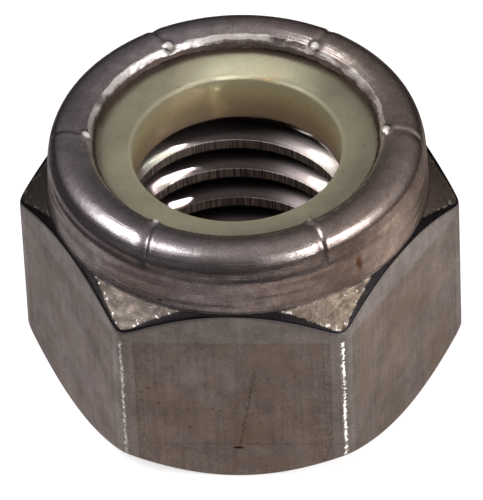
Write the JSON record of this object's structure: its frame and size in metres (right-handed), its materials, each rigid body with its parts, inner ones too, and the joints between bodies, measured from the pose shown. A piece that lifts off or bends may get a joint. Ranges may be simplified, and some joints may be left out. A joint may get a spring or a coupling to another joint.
{
  "type": "nylon insert lock nut",
  "caption": "Hexagon lock nut whose rolled collar holds a nylon ring that grips the bolt's thread so that it doesn't work loose.",
  "frame": {"origin": "centre of the bearing face, on the axis of the hole", "axes": "+Z along the hole from the bearing face to the nylon ring, +X to one corner of the hexagon, +Y to the middle of a flat"},
  "size_m": [0.0216, 0.019, 0.0145],
  "materials": {
    "nut_steel": "bare stainless steel, tumbled and handled, with dull scratches and a little rust staining",
    "nylon": "aged olive-grey nylon with a soft sheen"
  },
  "bodies": {
    "root": {"nut_body": "nut_steel", "nylon_insert": "nylon"}
  },
  "joints": []
}
